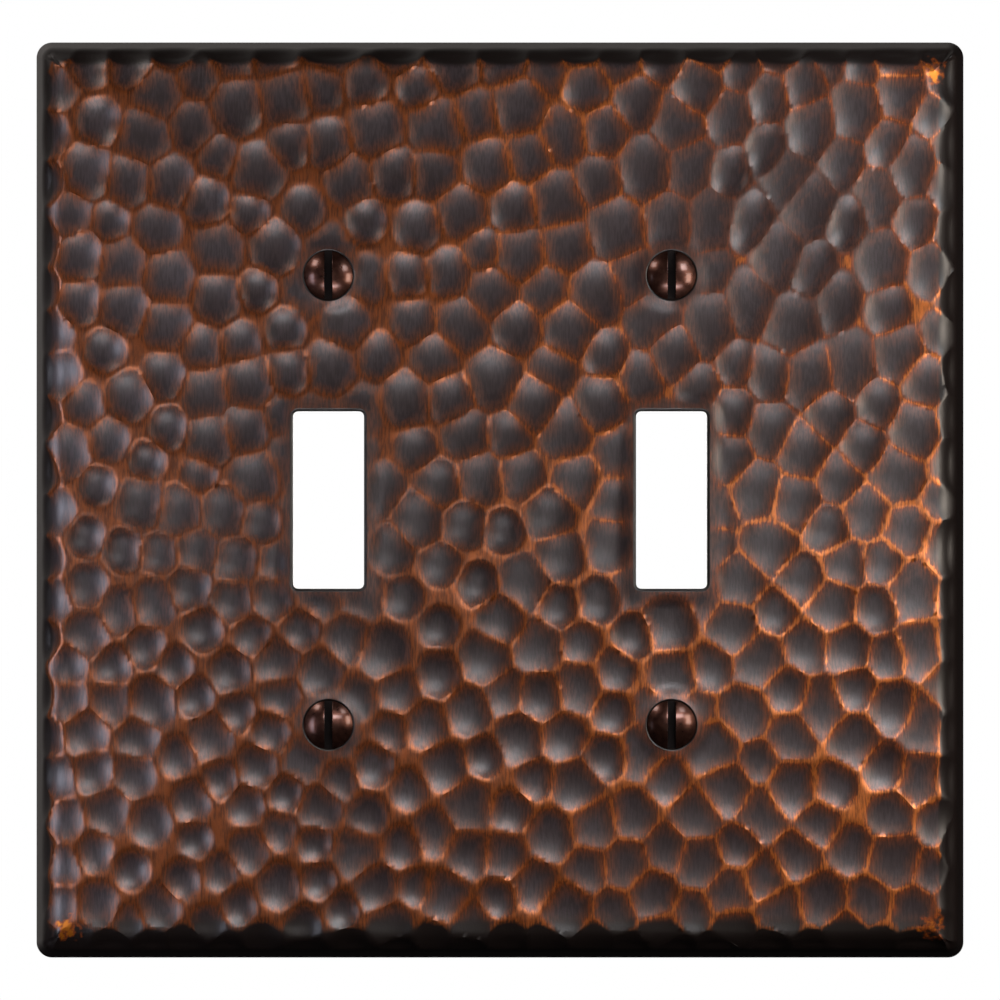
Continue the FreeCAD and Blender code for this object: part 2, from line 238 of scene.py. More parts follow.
class PressedForm:
    """The outer surface of the plate before hammering, unrolled onto a flat sheet.

    A place on the sheet is (s, t), measured from the middle of the face. On the face s is X and
    t is Z. Past the face they run on down the shoulder and the wall.
    """

    def __init__(self, plate):
        self.plate = plate
        self.depth = PLATE_SIZE.y
        self.turn = math.pi / 2 - plate.draft
        self.arc = plate.shoulder * self.turn
        shoulder_out = plate.shoulder * math.sin(self.turn)
        shoulder_down = plate.shoulder * (1 - math.cos(self.turn))
        self.wall = (self.depth - shoulder_down) / math.cos(plate.draft)
        self.reach = self.arc + self.wall
        self.out = shoulder_out + self.wall * math.sin(plate.draft)
        self.half = np.array([PLATE_SIZE.x / 2 - self.out, PLATE_SIZE.z / 2 - self.out])

    def profile(self, run):
        """Outward and inward travel and the surface's turn at a run past the face's edge."""
        turn = np.clip(run / self.plate.shoulder, 0, self.turn)
        down_wall = np.maximum(run - self.arc, 0)
        out = self.plate.shoulder * np.sin(turn) + down_wall * math.sin(self.plate.draft)
        inward = self.plate.shoulder * (1 - np.cos(turn)) + down_wall * math.cos(self.plate.draft)
        return out, inward, turn

    def place(self, sheet, sink):
        """Points in space for places on the sheet, sunk below the surface by a distance."""
        sign = np.where(sheet < 0, -1.0, 1.0)
        past = np.maximum(np.abs(sheet) - self.half, 0)
        run = past.max(axis=1)
        out, inward, turn = self.profile(run)
        span = np.hypot(past[:, 0], past[:, 1])
        heading = past / np.where(span > 0, span, 1)[:, None]
        both = (past > 0).all(axis=1)
        round_off = np.where(both, self.plate.corner * out / self.out, 0)
        on_face = np.minimum(np.abs(sheet), self.half)
        ahead = np.where(past > 0, (out - round_off)[:, None], 0)
        flat = on_face + ahead + heading * np.where(both, round_off, 0)[:, None]
        flat -= heading * (sink * np.sin(turn))[:, None]
        flat *= sign
        deep = -self.depth + inward + sink * np.cos(turn)
        return np.column_stack([flat[:, 0], deep, flat[:, 1]])


def smooth_step(low, high, value):
    """0 below low, 1 above high and an even ramp between."""
    part = np.clip((value - low) / (high - low), 0, 1)
    return part * part * (3 - 2 * part)


def sheet_lines(stops, spacing):
    """Grid lines through every stop, evenly spaced between stops and no wider than spacing."""
    lines = [stops[0]]
    for low, high in zip(stops, stops[1:]):
        count = max(1, math.ceil((high - low) / spacing))
        lines += [low + (high - low) * k / count for k in range(1, count + 1)]
    return np.array(lines)


def mirrored(stops):
    """The stops, with the same ones on the other side of the middle."""
    return [-value for value in reversed(stops)] + [0.0] + list(stops)


# ---------------------------------------------------------------------------------------
# Hammer work
# ---------------------------------------------------------------------------------------


class HammerWork:
    """The blows of a ball hammer, scattered over the unrolled sheet."""

    def __init__(self, hammer, form):
        self.hammer = hammer
        self.limit = form.half + form.arc
        self.face = form.half
        self.random = np.random.default_rng(hammer.seed)
        self.centres = self.relaxed(self.scattered())
        count = len(self.centres)
        spacing = self.spacing(self.centres)
        size = spacing * (SIZE_APART + SIZE_CROWDED * self.tightness(self.centres))
        self.radius = size * self.random.uniform(*RADIUS_RANGE, count)
        self.depth = hammer.depth * self.random.uniform(*DEPTH_RANGE, count)
        self.depth *= spacing / hammer.spacing_right
        self.stretch = self.stretching(self.centres)

    def tightness(self, sheet):
        """0 where dents stand apart on the left, 1 where they crowd together on the right."""
        across, up = (sheet / self.face).T
        return smooth_step(*CROWDING, across + WAVE * np.sin(WAVE_TURN * up + WAVE_START))

    def spacing(self, sheet):
        """Distance from dent to dent at places on the sheet."""
        tight = self.tightness(sheet)
        left = self.hammer.spacing_left + WIDER_ABOVE * sheet[:, 1] / self.face[1]
        return left + tight * (self.hammer.spacing_right - left)

    def streak(self, sheet):
        """1 in the patch at the upper right where the blows slid, fading to 0 round it."""
        away = sheet / self.face - STREAK_MIDDLE
        return np.exp(-(away ** 2 / STREAK_SPREAD).sum(axis=1))

    def stretching(self, sheet):
        """How much longer than wide the dents are, and the way they lean."""
        streak = self.streak(sheet)
        return np.column_stack([LONGER + LONGER_IN_STREAK * streak,
                                LEAN - LEAN_IN_STREAK * streak])

    def warp(self, offsets, stretch):
        """Offsets from dent centres, squeezed along the dents' long axes to make them round."""
        longer, lean = stretch[..., 0], stretch[..., 1]
        along = offsets[..., 0] * np.cos(lean) + offsets[..., 1] * np.sin(lean)
        aside = -offsets[..., 0] * np.sin(lean) + offsets[..., 1] * np.cos(lean)
        root = np.sqrt(longer)
        return along / root, aside * root

    def scattered(self):
        """Places no nearer to each other than the spacing allows, drawn one by one."""
        drawn = self.random.uniform(-1, 1, (DRAWS, 2)) * (self.limit + PAST_LIMIT)
        stretch = self.stretching(drawn)
        gap = GAP * self.spacing(drawn)
        kept = np.empty((0, 2))
        for place, lean, room in zip(drawn, stretch, gap):
            along, aside = self.warp(kept - place, lean[None, :])
            if not len(kept) or (along ** 2 + aside ** 2).min() > room ** 2:
                kept = np.vstack([kept, place])
        return kept

    def relaxed(self, centres):
        """The places, moved part of the way to the middle of their own ground."""
        across, up = (np.arange(-limit, limit, GROUND_STEP) for limit in self.limit)
        ground = np.stack(np.meshgrid(across, up), axis=-1).reshape(-1, 2)
        for _ in range(RELAX_TIMES):
            nearest = np.empty(len(ground), int)
            stretch = self.stretching(centres)
            for start in range(0, len(ground), AT_ONCE):
                part = slice(start, start + AT_ONCE)
                along, aside = self.warp(ground[part, None, :] - centres[None], stretch[None])
                nearest[part] = (along ** 2 + aside ** 2).argmin(axis=1)
            count = np.maximum(np.bincount(nearest, minlength=len(centres)), 1)
            middle = np.column_stack([np.bincount(nearest, ground[:, k], len(centres)) / count
                                      for k in (0, 1)])
            moved = centres + RELAXING * (middle - centres)
            centres = np.where(count[:, None] > 1, moved, centres)
        return centres

    def blows(self, sheet):
        """Depth below the face that each nearby dent would cut at places on the sheet.

        Returns the deepest two, their dents, and the softly joined depth of them all.
        """
        first = np.empty(len(sheet))
        second = np.empty(len(sheet))
        which = np.empty((len(sheet), 2), int)
        joined = np.empty(len(sheet))
        soft = SOFTNESS - SHARPER * self.tightness(sheet)
        for start in range(0, len(sheet), AT_ONCE):
            part = slice(start, start + AT_ONCE)
            offset = sheet[part, None, :] - self.centres[None, :, :]
            along, aside = self.warp(offset, self.stretch[None])
            far = np.hypot(along, aside) / self.radius[None, :]
            cut = self.depth[None, :] * (1 - far ** BLOW_POWER)
            order = np.argpartition(-cut, 1, axis=1)[:, :2]
            rows = np.arange(len(cut))
            pair = np.column_stack([cut[rows, order[:, 0]], cut[rows, order[:, 1]]])
            swap = pair[:, 0] < pair[:, 1]
            order[swap] = order[swap][:, ::-1]
            pair[swap] = pair[swap][:, ::-1]
            first[part], second[part], which[part] = pair[:, 0], pair[:, 1], order
            ease = soft[part, None]
            top = np.maximum(pair[:, :1], 0)
            total = np.exp((cut - top) / ease).sum(axis=1) + np.exp(-top[:, 0] / ease[:, 0])
            joined[part] = top[:, 0] + ease[:, 0] * np.log(total)
        return first, second, which, joined

    def slope(self, sheet, which):
        """Change of one dent's depth per step over the sheet, as a vector."""
        offset = sheet - self.centres[which]
        stretch = self.stretch[which]
        along, aside = self.warp(offset, stretch)
        size = np.maximum(np.hypot(along, aside), TOUCH)
        steep = -BLOW_POWER * self.depth[which] * size ** (BLOW_POWER - 2)
        steep /= self.radius[which] ** BLOW_POWER
        root = np.sqrt(stretch[:, 0])
        lean = stretch[:, 1]
        down_along = steep * along / root
        down_aside = steep * aside * root
        return np.column_stack([down_along * np.cos(lean) - down_aside * np.sin(lean),
                                down_along * np.sin(lean) + down_aside * np.cos(lean)])

    def edge_distance(self, sheet, first, second, which):
        """Distance from the nearest edge of a dent: a ridge, or the land round it."""
        here = self.slope(sheet, which[:, 0])
        other = self.slope(sheet, which[:, 1])
        to_ridge = (first - second) / np.maximum(np.linalg.norm(here - other, axis=1), LEAST_SLOPE)
        to_land = first / np.maximum(np.linalg.norm(here, axis=1), LEAST_SLOPE)
        return np.minimum(to_ridge, to_land)

    def snapped(self, sheet, reach):
        """Places moved onto the ridge between two dents, where one is within reach."""
        first, second, which, _ = self.blows(sheet)
        rise = self.slope(sheet, which[:, 0]) - self.slope(sheet, which[:, 1])
        steep = np.maximum((rise ** 2).sum(axis=1), LEAST_RISE)
        step = -((first - second) / steep)[:, None] * rise
        near = (np.linalg.norm(step, axis=1) < reach) & (second > LEAST_RIDGE)
        return np.where(near[:, None], sheet + step, sheet), near


# ---------------------------------------------------------------------------------------
# Mesh work shared by the pieces
# ---------------------------------------------------------------------------------------


class Hole:
    """An opening in the face: a core rectangle with a rim at one distance all round it."""

    def __init__(self, across, up, core, rim):
        self.middle = np.array([across, up])
        self.core = np.array(core)
        self.rim = rim

    def stretch_from_core(self, flat):
        """Nearest points of the core, and the offsets from them."""
        offset = flat - self.middle
        nearest = np.clip(offset, -self.core, self.core)
        return self.middle + nearest, offset - nearest

    def rounded(self, flat, fade):
        """Places moved so that the square block of the rim becomes its rounded outline."""
        base, away = self.stretch_from_core(flat)
        square = np.abs(away).max(axis=1)
        span = np.maximum(np.linalg.norm(away, axis=1), TOUCH)
        weight = 1 - smooth_step(self.rim, self.rim + fade, square)
        return base + away * (1 + weight * (square / span - 1))[:, None]

    def holds(self, across, up):
        """True inside the square block of the rim."""
        reach = self.core + self.rim
        return abs(across - self.middle[0]) < reach[0] and abs(up - self.middle[1]) < reach[1]

    def distance(self, flat):
        """Distance outside the rim."""
        _, away = self.stretch_from_core(flat)
        return np.linalg.norm(away, axis=1) - self.rim

    def ring_edges(self, mesh):
        """The open edges of the mesh that go round this hole."""
        reach = self.core + self.rim * RING_REACH
        return [edge for edge in mesh.edges if edge.is_boundary and all(
            abs(vert.co.x - self.middle[0]) < reach[0] and abs(vert.co.z - self.middle[1]) < reach[1]
            for vert in edge.verts)]


def rolled_edge(rim, face, radius, turned, steps):
    """Rings down a rounded edge inside a rim: each a distance from the core and a Y."""
    turns = [turned * k / steps for k in range(1, steps + 1)]
    return [(rim - radius * math.sin(turn), face + radius * (1 - math.cos(turn)))
            for turn in turns]


def extended(mesh, edges, hole, rings):
    """A hole's open edges drawn on through rings, each a distance from the core and a Y."""
    black_patina_and_shade = mesh.verts.layers.float["black_patina_and_shade"]
    for outset, deep in rings:
        made = bmesh.ops.extrude_edge_only(mesh, edges=edges)["geom"]
        verts = [item for item in made if isinstance(item, bmesh.types.BMVert)]
        flat = np.array([(vert.co.x, vert.co.z) for vert in verts])
        base, away = hole.stretch_from_core(flat)
        away /= np.linalg.norm(away, axis=1)[:, None]
        for vert, (across, up) in zip(verts, base + away * outset):
            vert.co = (across, deep, up)
            # Full black on the rolled edges and seats: patina, with a painted shadow round the
            # openings.
            vert[black_patina_and_shade] = 1
        edges = [item for item in made if isinstance(item, bmesh.types.BMEdge) and item.is_boundary]
    return edges


def finished(mesh, name, sharp_angle):
    """A bmesh as a smooth-shaded object at the origin, with sharp edges past an angle."""
    bmesh.ops.recalc_face_normals(mesh, faces=mesh.faces[:])
    data = bpy.data.meshes.new(name)
    mesh.to_mesh(data)
    mesh.free()
    data.shade_smooth()
    data.set_sharp_from_angle(angle=sharp_angle)
    piece = bpy.data.objects.new(name, data)
    bpy.context.scene.collection.objects.link(piece)
    return piece


# ---------------------------------------------------------------------------------------
# The plate
# ---------------------------------------------------------------------------------------


class PlateMesh:
    """The hammered plate as one closed skin: front, back, rim, openings and screw seats."""

    def __init__(self, settings):
        self.plate = settings.wall_plate_sizes
        self.form = PressedForm(self.plate)
        self.work = HammerWork(settings.wall_plate_hammer, self.form)
        seat_depth = (self.plate.seat_mouth - self.plate.hole) / math.tan(self.plate.seat_angle)
        self.dimple = seat_depth + self.plate.sheet / 2
        toggles, seats = self.holes(0, self.plate.seat_mouth)
        for hole in toggles + seats:
            near = smooth_step(0, LIGHT_BLOWS, hole.distance(self.work.centres))
            self.work.depth *= LIGHTEST_BLOW + (1 - LIGHTEST_BLOW) * near

    def holes(self, toggle_outset, seat_rim):
        """The two toggle openings and four screw seats, with their rims at the given sizes."""
        corner = self.plate.toggle_corner
        core = (self.plate.toggle_width / 2 - corner, self.plate.toggle_height / 2 - corner)
        toggles = [Hole(side * GANG, 0, core, corner + toggle_outset) for side in (-1, 1)]
        seats = [Hole(place.x, place.z, (0, 0), seat_rim) for place in SCREW_JOINTS.values()]
        return toggles, seats

    def sheet_grid(self, mesh, toggles, seats, reach, spacing):
        """A grid over the unrolled sheet, with its lines on every rim and the holes open."""
        seat = seats[0].rim
        toggle = toggles[0].core + toggles[0].rim
        half = self.form.half
        across = [GANG - toggle[0], GANG - seat, GANG + seat, GANG + toggle[0],
                  half[0], half[0] + self.form.arc, half[0] + reach]
        up = [toggle[1], SCREW_LEVEL - seat, SCREW_LEVEL + seat,
              half[1], half[1] + self.form.arc, half[1] + reach]
        columns = sheet_lines(mirrored(across), spacing)
        rows = sheet_lines(mirrored(up), spacing)
        bmesh.ops.create_grid(mesh, x_segments=len(columns) - 1, y_segments=len(rows) - 1, size=1)
        for vert in mesh.verts:
            column = round((vert.co.x + 1) / 2 * (len(columns) - 1))
            row = round((vert.co.y + 1) / 2 * (len(rows) - 1))
            vert.co = (columns[column], rows[row], 0)
        gone = []
        for face in mesh.faces:
            middle = face.calc_center_median()
            if any(hole.holds(middle.x, middle.y) for hole in toggles + seats):
                gone.append(face)
        bmesh.ops.delete(mesh, geom=gone, context="FACES")
        sheet = np.array([vert.co[:2] for vert in mesh.verts])
        for hole in toggles + seats:
            sheet = hole.rounded(sheet, HOLE_FADE)
        return sheet

    def strength(self, sheet, toggles, seats):
        """How much of each dent is left: none on the wall and at the rims of the holes."""
        run = np.maximum(np.abs(sheet) - self.form.half, 0).max(axis=1)
        kept = 1 - smooth_step(*WALL_FADE, run / self.form.arc)
        for holes, fade in ((toggles, TOGGLE_FADE), (seats, SEAT_FADE)):
            for hole in holes:
                kept = np.minimum(kept, smooth_step(*fade, hole.distance(sheet)))
        return kept

    def black_patina_and_shade(self, sheet):
        """How much black patina and painted shade is laid on: all of it once well past the edge of the
        face.

        The painted shade starts furthest out round the left side and reaches in over the face along
        the bottom, so the rim darkens towards the bottom and the right.
        """
        left = 0
        for axis, side, low, high in SHADED_SIDES:
            past = side * sheet[:, axis] - self.form.half[axis]
            left = np.maximum(left, smooth_step(low, high, past))
        return left

    def front(self, mesh):
        """The hammered front, and its holes' rolled edges and seats."""
        plate = self.plate
        lean = math.pi / 2 - plate.seat_angle
        toggles, seats = self.holes(plate.toggle_edge,
                                    plate.seat_mouth + MOUTH_ROUND * math.tan(lean / 2))
        sheet = self.sheet_grid(mesh, toggles, seats, self.form.reach, plate.front_mesh)
        strength = self.strength(sheet, toggles, seats)
        moved, on_ridge = self.work.snapped(sheet, SNAP_REACH * plate.front_mesh)
        on_ridge &= strength > LEAST_STRENGTH
        sheet = np.where(on_ridge[:, None], moved, sheet)
        first, second, which, joined = self.work.blows(sheet)
        edge = self.work.edge_distance(sheet, first, second, which) / MM
        edge = np.clip(edge, -1, EDGE_DISTANCE_FAR) * strength
        edge += EDGE_DISTANCE_WALL * (1 - strength)
        edge += LESS_RUBBED * self.work.streak(sheet) * (edge < EDGE_NEAR)
        black_patina_and_shade = self.black_patina_and_shade(sheet)

        mesh.verts.ensure_lookup_table()
        for vert, (across, up) in zip(mesh.verts, sheet):
            vert.co = (across, up, 0)
        ridge_verts = [mesh.verts[k] for k in np.flatnonzero(on_ridge)]
        bmesh.ops.connect_verts(mesh, verts=ridge_verts)

        edge_layer = mesh.verts.layers.float.new("edge_distance")
        black_patina_and_shade_layer = mesh.verts.layers.float.new("black_patina_and_shade")
        mesh.verts.layers.float.new("inside")
        for vert, place, far, black_and_shade in zip(mesh.verts, self.form.place(sheet, joined * strength),
                                            edge, black_patina_and_shade):
            vert.co = place
            vert[edge_layer] = far
            vert[black_patina_and_shade_layer] = black_and_shade

        face = -self.form.depth
        inner_face = face + plate.sheet
        for hole in toggles:
            rolled = rolled_edge(hole.rim, face, plate.toggle_edge, math.pi / 2, TOGGLE_STEPS)
            extended(mesh, hole.ring_edges(mesh), hole, rolled + [(rolled[-1][0], inner_face)])
        for hole in seats:
            rolled = rolled_edge(hole.rim, face, MOUTH_ROUND, lean, SEAT_STEPS)
            start, deep = rolled[-1]
            cone = [(start + (plate.hole - start) * part,
                     deep + (start - plate.hole) * part / math.tan(plate.seat_angle))
                    for part in (0.5, 1)]
            extended(mesh, hole.ring_edges(mesh), hole,
                     rolled + cone + [(plate.hole, face + self.dimple)])

    def back(self, mesh):
        """The back, with the dents showing through as low bumps, and the screw dimples."""
        plate = self.plate
        slope = math.tan(plate.seat_angle)
        skin = plate.seat_mouth + plate.sheet / math.cos(plate.seat_angle)
        toggles, seats = self.holes(BURR_WIDTH, skin - plate.sheet * slope)
        reach = self.form.reach - plate.sheet * math.tan(plate.draft)
        sheet = self.sheet_grid(mesh, toggles, seats, reach, plate.back_mesh)
        strength = self.strength(sheet, toggles, seats)
        joined = self.work.blows(sheet)[3]
        sink = plate.sheet + SHOWS_THROUGH * joined * strength
        edge_layer = mesh.verts.layers.float.new("edge_distance")
        mesh.verts.layers.float.new("black_patina_and_shade")
        inside_layer = mesh.verts.layers.float.new("inside")
        for vert, place in zip(mesh.verts, self.form.place(sheet, sink)):
            vert.co = place
            vert[edge_layer] = EDGE_DISTANCE_FAR
            vert[inside_layer] = 1
        face = -self.form.depth
        for hole in seats:
            extended(mesh, hole.ring_edges(mesh), hole,
                     [(skin - self.dimple * slope, face + self.dimple),
                      (plate.hole + BURR_WIDTH, face + self.dimple)])


def open_loops(mesh):
    """The mesh's open edges, as separate loops."""
    left = {edge for edge in mesh.edges if edge.is_boundary}
    loops = []
    while left:
        loop = [left.pop()]
        growing = [loop[0]]
        while growing:
            edge = growing.pop()
            for vert in edge.verts:
                for other in vert.link_edges:
                    if other in left:
                        left.remove(other)
                        loop.append(other)
                        growing.append(other)
        loops.append(loop)
    return loops


def loop_middle(loop):
    """The middle of a loop of edges, and its reach from there, in X and Z."""
    spots = np.array([(vert.co.x, vert.co.z) for edge in loop for vert in edge.verts])
    return spots.mean(axis=0), np.abs(spots - spots.mean(axis=0)).max()


def joined_skins(front, back):
    """The back's mesh added to the front's, and the flat ring filled between each two loops."""
    data = bpy.data.meshes.new("back_skin")
    back.to_mesh(data)
    back.free()
    front.from_mesh(data)
    bpy.data.meshes.remove(data)
    waiting = [(loop, *loop_middle(loop)) for loop in open_loops(front)]
    while waiting:
        loop, middle, reach = waiting.pop()
        partner = min(waiting, key=lambda item: np.linalg.norm(item[1] - middle)
                      + abs(item[2] - reach))
        waiting = [item for item in waiting if item is not partner]
        bmesh.ops.triangle_fill(front, edges=loop + partner[0], use_beauty=True,
                                normal=(0, 1, 0))


class WALLPLATE_OT_plate(bpy.types.Operator):
    """Builds the hammered plate in place of the smooth one"""

    bl_idname = "wallplate.plate"
    bl_label = "Hammered plate"

    def execute(self, context):
        builder = PlateMesh(context.scene)
        front = bmesh.new()
        builder.front(front)
        back = bmesh.new()
        builder.back(back)
        joined_skins(front, back)
        piece = finished(front, "hammered_plate", sharp_angle=math.radians(43))
        piece.data.materials.append(patinated_copper(context.scene.wall_plate_finish))
        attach(piece, "plate")
        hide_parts("wall_plate")
        return {"FINISHED"}


# ---------------------------------------------------------------------------------------
# Screws
# ---------------------------------------------------------------------------------------


class ScrewSettings(bpy.types.PropertyGroup):
    """Sizes of the slotted oval-head screws."""

    head: length("Head", "Radius of the head's rim", 3.25 * MM)
    rise: length("Rise", "Height of the dome above the rim", 1.1 * MM)
    land: length("Land", "Straight rim between dome and cone", 0.15 * MM)
    cone: bpy.props.FloatProperty(name="Cone", description="Half angle of the cone under the head",
                                  default=math.radians(41), subtype="ANGLE")
    neck: length("Neck", "Radius of the plain neck", 1.4 * MM)
    neck_end: length("Neck end", "Top of the dome to the end of the neck", 3.64 * MM)
    thread: length("Thread", "Outside radius of the thread", 1.75 * MM)
    root: length("Root", "Radius at the root of the thread", 1.3 * MM)
    pitch: length("Pitch", "Advance of the thread in one turn, 32 to the inch", 0.79375 * MM)
    tip: length("Tip", "Bevel at the tip", 0.5 * MM)
    slot_width: length("Slot width", "Driver slot across", 1.04 * MM)
    slot_depth: length("Slot depth", "Driver slot from the top of the dome", 1.3 * MM)
    slot_bevel: length("Slot bevel", "Broken edge along the driver slot", 0.06 * MM)


def screw_outline(sizes, total):
    """Half the screw's outline, as distances from the axis and from the top of the dome."""
    dome = (sizes.head ** 2 + sizes.rise ** 2) / (2 * sizes.rise)
    sweep = math.asin(sizes.head / dome)
    turns = [sweep * k / DOME_STEPS for k in range(DOME_STEPS + 1)]
    points = [(dome * math.sin(turn), dome * (1 - math.cos(turn))) for turn in turns]
    rim_back = sizes.rise + sizes.land
    cone_end = rim_back + (sizes.head - sizes.neck) / math.tan(sizes.cone)
    points += [(sizes.head, rim_back), (sizes.neck, cone_end), (sizes.neck, sizes.neck_end)]
    rings = round((total - sizes.neck_end) / sizes.pitch * THREAD_RINGS_PER_PITCH)
    points += [(sizes.root, sizes.neck_end + (total - sizes.neck_end) * k / rings)
               for k in range(rings + 1)]
    return points + [(0.0, total)]


def cut_thread(mesh, sizes, total):
    """Raises the right-handed thread from the root cylinder, from the neck to the bevelled tip."""
    start = sizes.neck_end
    for vert in mesh.verts:
        down = vert.co.y
        across = math.hypot(vert.co.x, vert.co.z)
        if down < start - TOUCH or across < sizes.root - TOUCH:
            continue
        around = math.atan2(vert.co.z, vert.co.x) / math.tau
        pitches = (down - start) / sizes.pitch
        phase = (pitches + around) % 1.0
        tooth = min(max(TOOTH_TOP - TOOTH_SLOPE * abs(phase - 0.5), 0.0), 1.0)
        ease = min(max(pitches / THREAD_START, 0.0), 1.0)
        bevel = sizes.thread - max(down - (total - sizes.tip), 0.0)
        radius = min(sizes.root + (sizes.thread - sizes.root) * tooth * ease, bevel)
        vert.co.x *= radius / across
        vert.co.z *= radius / across


def cut_slot(mesh, sizes):
    """Cuts the driver slot across the head: bisect, take out the middle, wall and floor it."""
    half = sizes.slot_width / 2
    floor = sizes.slot_depth
    head_end = 0.8 * sizes.neck_end
    for place, normal in (((half, 0, 0), (1, 0, 0)), ((-half, 0, 0), (-1, 0, 0)),
                          ((0, floor, 0), (0, 1, 0))):
        head = [face for face in mesh.faces if face.calc_center_median().y < head_end]
        geometry = list({item for face in head for item in [face, *face.edges, *face.verts]})
        bmesh.ops.bisect_plane(mesh, geom=geometry, plane_co=place, plane_no=normal, dist=1e-8)
    gone = [face for face in mesh.faces if abs(face.calc_center_median().x) < half
            and face.calc_center_median().y < floor]
    bmesh.ops.delete(mesh, geom=gone, context="FACES")
    corners = {}
    for vert in mesh.verts:
        if (vert.is_boundary and abs(vert.co.y - floor) < TOUCH
                and abs(abs(vert.co.x) - half) < TOUCH):
            corners[(vert.co.x > 0, vert.co.z > 0)] = vert
    rims = {side: [edge for edge in mesh.edges if edge.is_boundary
                   and all(abs(vert.co.x - (half if side else -half)) < TOUCH
                           for vert in edge.verts)] for side in (False, True)}
    ends = [edge for edge in mesh.edges if edge.is_boundary
            and all(abs(vert.co.y - floor) < TOUCH for vert in edge.verts)]
    bottoms = {side: mesh.edges.new((corners[(side, False)], corners[(side, True)]))
               for side in (False, True)}
    borders = [rims[side] + [bottoms[side]] for side in (False, True)]
    for border in borders + [ends + list(bottoms.values())]:
        for face in bmesh.ops.contextual_create(mesh, geom=border)["faces"]:
            # The slot's walls and floor take the second material, painted near black as shade in the
            # slot.
            face.material_index = 1
    return [edge for side in (False, True) for edge in rims[side]]


def make_screw(name, sizes, materials):
    """One oval-head screw, turned, threaded and slotted, in its place in the plate."""
    low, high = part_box(name)
    total = high.y - low.y
    mesh = bmesh.new()
    outline = [mesh.verts.new((across, down, 0)) for across, down in screw_outline(sizes, total)]
    edges = [mesh.edges.new(pair) for pair in zip(outline, outline[1:])]
    bmesh.ops.spin(mesh, geom=outline + edges, cent=(0, 0, 0), axis=(0, 1, 0),
                   angle=math.tau, steps=TURN_STEPS, use_merge=True)
    cut_thread(mesh, sizes, total)
    bmesh.ops.remove_doubles(mesh, verts=mesh.verts, dist=TOUCH)
    rim = cut_slot(mesh, sizes)
    bmesh.ops.recalc_face_normals(mesh, faces=mesh.faces[:])
    bmesh.ops.bevel(mesh, geom=[edge for edge in rim if edge.is_valid], offset=sizes.slot_bevel,
                    affect="EDGES", segments=2, profile=0.5, material=-1)
    place = SCREW_JOINTS[name]
    bmesh.ops.translate(mesh, verts=mesh.verts, vec=(place.x, low.y, place.z))
    piece = finished(mesh, name.replace("screw", "oval_head_screw"),
                     sharp_angle=math.radians(38))
    for material in materials:
        piece.data.materials.append(material)
    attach(piece, name)
    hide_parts(name)


class WALLPLATE_OT_screws(bpy.types.Operator):
    """Builds the four oval-head screws with their slots and threads"""

    bl_idname = "wallplate.screws"
    bl_label = "Oval-head screws"

    def execute(self, context):
        materials = (bronzed_steel(context.scene.wall_plate_finish), slot_painted_shade())
        for name in SCREWS:
            make_screw(name, context.scene.wall_plate_screws, materials)
        return {"FINISHED"}


# ---------------------------------------------------------------------------------------
# Materials
# ---------------------------------------------------------------------------------------


def linear(hex_value):
    """An sRGB hex colour as linear red, green, blue and alpha."""
    parts = [int(hex_value[k:k + 2], 16) / 255 for k in (1, 3, 5)]
    return tuple(part / 12.92 if part <= 0.04045 else ((part + 0.055) / 1.055) ** 2.4
                 for part in parts) + (1.0,)


def add_node(tree, kind, inputs, out=0, **settings):
    """Adds a node with its settings and links, and gives one of its outputs if it has any."""
    node = tree.nodes.new("ShaderNode" + kind)
    for name, value in settings.items():
        setattr(node, name, value)
    for name, value in inputs.items():
        if isinstance(value, bpy.types.NodeSocket):
            tree.links.new(value, node.inputs[name])
        else:
            node.inputs[name].default_value = value
    return node.outputs[out] if node.outputs else None


def new_material(name, patterns):
    """An empty material, with its tree, the place on the object and noise patterns read there.

    A pattern has the size of its features in metres, their stretch upwards and its detail.
    """
    material = bpy.data.materials.new(name)
    material.use_nodes = True
    tree = material.node_tree
    tree.nodes.clear()
    place = add_node(tree, "TexCoord", {}, "Object")
    drawn = []
    for size, stretch, detail in patterns:
        scale = (1 / size, 1 / size, 1 / (size * stretch))
        spot = add_node(tree, "Mapping", {"Vector": place, "Scale": scale})
        drawn.append(add_node(tree, "TexNoise", {"Vector": spot, "Scale": 1, "Detail": detail}))
    return material, tree, place, *drawn


